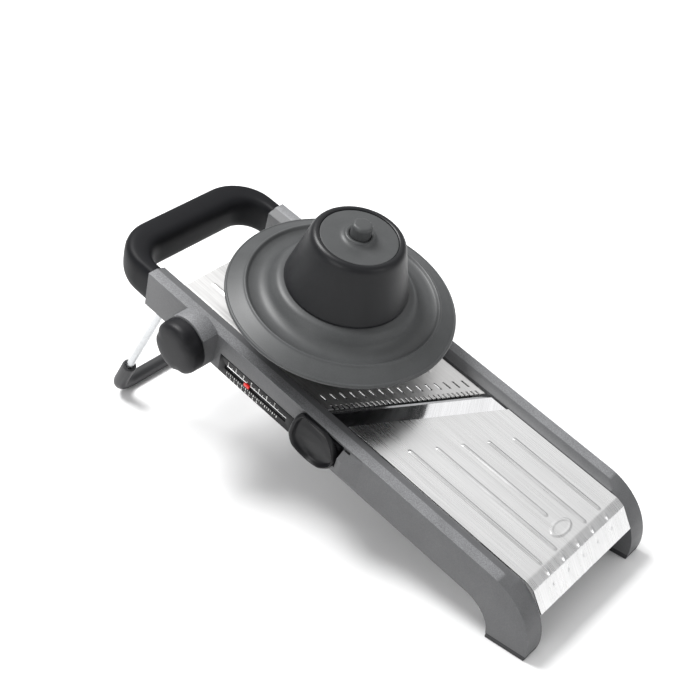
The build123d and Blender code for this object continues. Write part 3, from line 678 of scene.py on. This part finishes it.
holderX = -231.0
brim = dict(
    top=[(40.6, 50.6), (44.8, 50.5), (48.5, 49.3), (51.4, 46.4), (54.4, 42.6), (58.5, 40.1), (63, 39.4),
         (66.6, 40.2), (68.3, 41.5)],
    ring=[(68.8, 42.05), (69.4, 42.2), (70.0, 42.0), (70.5, 41.35)],
    band=[(71.2, 40.95), (75, 39.1), (79.6, 36.7), (81.0, 36.0), (81.5, 36.1), (82.2, 35.9), (82.75, 35.2),
          (82.95, 34.3),
          (82.6, 33.4), (81.8, 33.1)],
    under=[(75, 36.6), (69, 39.5), (63, 37.0), (57, 38.2), (53, 41.4), (49.5, 45.2), (46, 47.4), (42.5, 48.2),
           (40.6, 48.3), (40.6, 50.6)],
)
dome = dict(
    outside=[(43.2, 50.3), (44.1, 50.9), (44.2, 52.0), (43.6, 54.2), (42.5, 58.0), (40.8, 64.0), (38.6, 71.8),
             (36.5, 79.6), (34.7, 86.0), (33.4, 90.2), (32.2, 92.3), (30.8, 93.5), (29.4, 94.0), (28.4, 93.9),
             (27.6, 93.5)],
    inside=[(27.35, 92.6), (27.4, 90), (34.0, 78), (37.6, 64), (40.0, 54), (40.8, 50.4), (43.2, 50.3)],
)
cap = [(7.4, 90), (27.1, 90), (27.2, 92.7), (26.8, 93.15), (25.4, 93.25), (20, 93.35), (15.4, 93.45),
       (12.9, 93.8),
       (11.3, 94.7), (10.5, 95.6), (9.9, 96.1), (9.2, 96.2), (8.3, 96.0), (7.7, 95.4), (7.4, 94.0), (7.4, 90)]
button = [(0, 105.15), (3.5, 105.15), (5.6, 104.95), (6.7, 104.2), (7.2, 102.9), (7.25, 101), (7.25, 86),
          (7.25, 80.6), (6.6, 80.2), (4.2, 80.2), (4.1, 84), (4.1, 85.9), (0, 85.9)]


def facets(radius, angle, height):
    """Six faint flats near the top: the radius shrinks by 4 percent of a raised cosine."""
    near = smoothStep(99 * mm, 102 * mm, height)
    return radius * (1 - 0.04 * near * (0.5 - 0.5 * np.cos(6 * angle)))


def makeHolder():
    """Each piece is its smoothed profile turned about the holder's upright axis."""
    line = np.concatenate([smoothLine(brim["top"], 60), brim["ring"], smoothLine(brim["band"], 44),
                           smoothLine(brim["under"], 44)])
    turned("brim", line, (holderX, 0), "food_holder", greyBrim, ["holder_brim"], steps=180)
    line = np.concatenate([smoothLine(dome["outside"], 70), smoothLine(dome["inside"], 36)])
    turned("dome", line, (holderX, 0), "food_holder", domeGrip, ["holder_dome"], steps=160)
    turned("cap", smoothLine(cap, 90), (holderX, 0), "food_holder", greyBrim, ["holder_cap"])
    turned("button", smoothLine(button, 80), (holderX, 0), "plunger", greyBrim,
           ["plunger_button"], steps=96, shape=facets)


makeHolder()
print("food holder ready")


# Thickness dial: a soft black knob with three finger scallops and a domed face

dial = dict(
    axis=(-294.0, -14.6), radius=20.4, scallops=np.radians([52, 172, 292]), spread=0.24, depth=1.5,
    profile=[(0, -96.25), (6, -96.2), (12, -95.95), (15.6, -95.4), (18.0, -94.5), (19.6, -92.9),
             (20.3, -90.6),
             (20.4, -88), (20.4, -84.2), (20.1, -83.2), (19.2, -82.9), (12, -82.9), (0, -82.9)],
)


def scalloped(radius, angle, height):
    """Each scallop is a bell in the angle, deepest at the face and gone by the back, fading to the middle."""
    turnBy = (angle[..., None] - dial["scallops"] + np.pi) % (2 * np.pi) - np.pi
    bell = np.exp(-(turnBy / dial["spread"]) ** 2).sum(-1)
    front = smoothStep(-83.5 * mm, -91 * mm, height)
    return radius - dial["depth"] * mm * bell * front * smoothStep(6 * mm, 18 * mm, radius)


def makeDial():
    """The smoothed profile turned about the dial's axis, with the scallops cut in its rim."""
    turned("dial_knob", smoothLine(dial["profile"], 110), dial["axis"], "thickness_dial", knobBlack,
           ["thickness_knob", "knob_cap"], steps=180, upright=False, shape=scalloped)


makeDial()
print("dial ready")


# Cartridge: the slicing blade with its ground edge, and the hooded pull

blade = dict(edge=-151.5, rear=-118.5, top=-3.5, low=-4.3, ground=2.6, y0=-53.0, y1=52.6)
pull = dict(
    outline=[(-190, 0.2), (-180, 0.4), (-169, 0.2), (-161, -3.2), (-154.6, -9.6), (-153.1, -15),
             (-155.6, -20.8),
             (-162.5, -27.6), (-170, -31.4), (-177, -32.6), (-184.5, -31.2), (-190.2, -26.4), (-193.4, -19.6),
             (-194, -12), (-193.2, -4)],
    middle=(-172.0, -14.5), dishAim=(5.0, 3.0),
    heights=[-34, -32.5, -27, -18, -10, -4, 0.5], faceY=[-73, -76.2, -78.4, -78.95, -77.4, -75.2, -73.0],
    rings=[(0.0, None), (0.9, None), (0.985, -70.1), (1.0, -70.8), (1.0, 1.9), (0.995, 1.2), (0.98, 0.5),
           (0.955, 0.1), (0.925, 0.0), (0.90, 0.4), (0.88, 1.6), (0.86, 3.4), (0.83, 4.8), (0.7, 5.6),
           (0.5, 6.0),
           (0.25, 6.2), (0.0, 6.3)],
)


def makeBlade():
    """One section carried across with the shear of the blade's slant: x = section + slant times y."""
    g = blade
    section = np.array([(g["edge"], g["low"] + 0.06), (g["edge"] + 0.5, g["low"] + 0.22),
                        (g["edge"] + g["ground"], g["top"] - 0.02), (g["edge"] + g["ground"] + 0.4, g["top"]),
                        (g["rear"] - 0.1, g["top"]), (g["rear"], g["top"] - 0.1), (g["rear"], g["low"]),
                        (g["edge"] + 0.1, g["low"])]) * mm
    y = np.linspace(g["y0"], g["y1"], 60)[:, None] * mm
    x = section[None, :, 0] + slant * y
    points = np.stack([x, y + 0 * x, section[None, :, 1] + 0 * x], -1)
    rows, columns = x.shape
    faces = [tuple(f) for f in gridFaces(rows, columns, closeColumns=True)]
    faces += [tuple(range(columns)), tuple(range((rows - 1) * columns, rows * columns))]
    makePiece("blade_sheet", points, faces, "blade_cartridge", bladeSteel, ["slicing_blade"],
              sharp=8)


def makePull():
    """Rings shrunk towards a point: a back, a side wall, a rolled rim and a dish.

    A ring's (scale, y) holds either a fixed y or how far it is sunk behind the swelling face.
    """
    g = pull
    line = smoothLine(g["outline"] + g["outline"][:1], 97)[:-1]
    middle, aim = np.array(g["middle"]), np.array(g["dishAim"])
    rings = []
    for scale, sunk in g["rings"]:
        flat = middle + (line - middle) * scale + aim * (1 - scale) * (sunk is not None and sunk >= 0)
        face = np.interp(flat[:, 1], g["heights"], g["faceY"])
        y = np.full(len(flat),
                    -70.1) if sunk is None else (face + sunk if sunk >= 0 else np.full(len(flat), sunk))
        rings.append(np.stack([flat[:, 0], y, flat[:, 1]], -1))
    points = np.array(rings) * mm
    piece = makePiece("pull_hood", points, gridFaces(len(rings), len(line), closeColumns=True),
                      "blade_cartridge",
                      blackPlastic, ["cartridge_pull"], sharp=60)
    smooth = piece.modifiers.new("smooth", "SUBSURF")
    smooth.levels = smooth.render_levels = 1


makeBlade()
makePull()
print("cartridge ready")


# Scale marks: white ticks and plain numbers above and below the pointer's slot

marks = dict(faceY=-69.3, lift=0.06, first=-263.0, step=3.9, count=14, low=(-25.9, -27.9),
             high=(-19.6, -18.4),
             lowText=-30.9, highText=-17.9, size=2.7)


def bars(centres, z0, z1, width):
    """Thin upright boxes on the plate's face, one for each centre, as corners and faces."""
    g = marks
    y0, y1 = g["faceY"] + 0.02, g["faceY"] - g["lift"]
    corners = np.array([(x, y, z) for x in (-width / 2, width / 2) for y in (y0, y1) for z in (z0, z1)])
    points = (corners[None] + np.stack([centres, 0 * centres, 0 * centres], -1)[:, None]).reshape(-1, 3)
    box = np.array([(0, 1, 3, 2), (4, 6, 7, 5), (0, 4, 5, 1), (2, 3, 7, 6), (0, 2, 6, 4), (1, 5, 7, 3)])
    faces = (box[None] + 8 * np.arange(len(centres))[:, None, None]).reshape(-1, 4)
    return points, faces


def textMesh(words, size):
    """A word as mesh corners and faces, centred on its middle, in its own plane."""
    curve = bpy.data.curves.new("word", "FONT")
    curve.body, curve.size, curve.align_x, curve.extrude = words, size, "CENTER", marks["lift"] / 2
    word = bpy.data.objects.new("word", curve)
    bpy.context.scene.collection.objects.link(word)
    bpy.context.view_layer.update()
    mesh = word.to_mesh()
    corners = np.array([v.co[:] for v in mesh.vertices])
    faces = [tuple(f.vertices) for f in mesh.polygons]
    word.to_mesh_clear()
    bpy.data.objects.remove(word)
    return corners, faces


def makeMarks():
    """Ticks at even steps from the first, and a number at each that has one."""
    g = marks
    centres = g["first"] + g["step"] * np.arange(g["count"])
    parts = [bars(centres, g["low"][1], g["low"][0], 0.5),
             bars(centres[:-1] + g["step"] / 2, g["low"][0] - 1.1, g["low"][0], 0.35),
             bars(centres[::2], g["high"][0], g["high"][1], 0.5),
             bars(centres[1::2], g["high"][0], g["high"][1] - 0.4, 0.35)]
    for i, x in enumerate(centres):
        for words, z, keep in ((str(i + 1), g["lowText"], i < 9),
                               (str(i // 2 + 1), g["highText"], i % 2 == 0)):
            if keep:
                corners, faces = textMesh(words, g["size"])
                flat = np.stack([corners[:, 0] + x, g["faceY"] - g["lift"] / 2 - corners[:, 2],
                                 corners[:, 1] + z], -1)
                parts.append((flat, faces))
    points, faces, start = [], [], 0
    for corners, loops in parts:
        points.append(corners)
        faces += [tuple(int(v) + start for v in f) for f in loops]
        start += len(corners)
    makePiece("scale_marks", np.concatenate(points) * mm, faces, "frame", markWhite, sharp=20)


makeMarks()
print("scale marks ready")
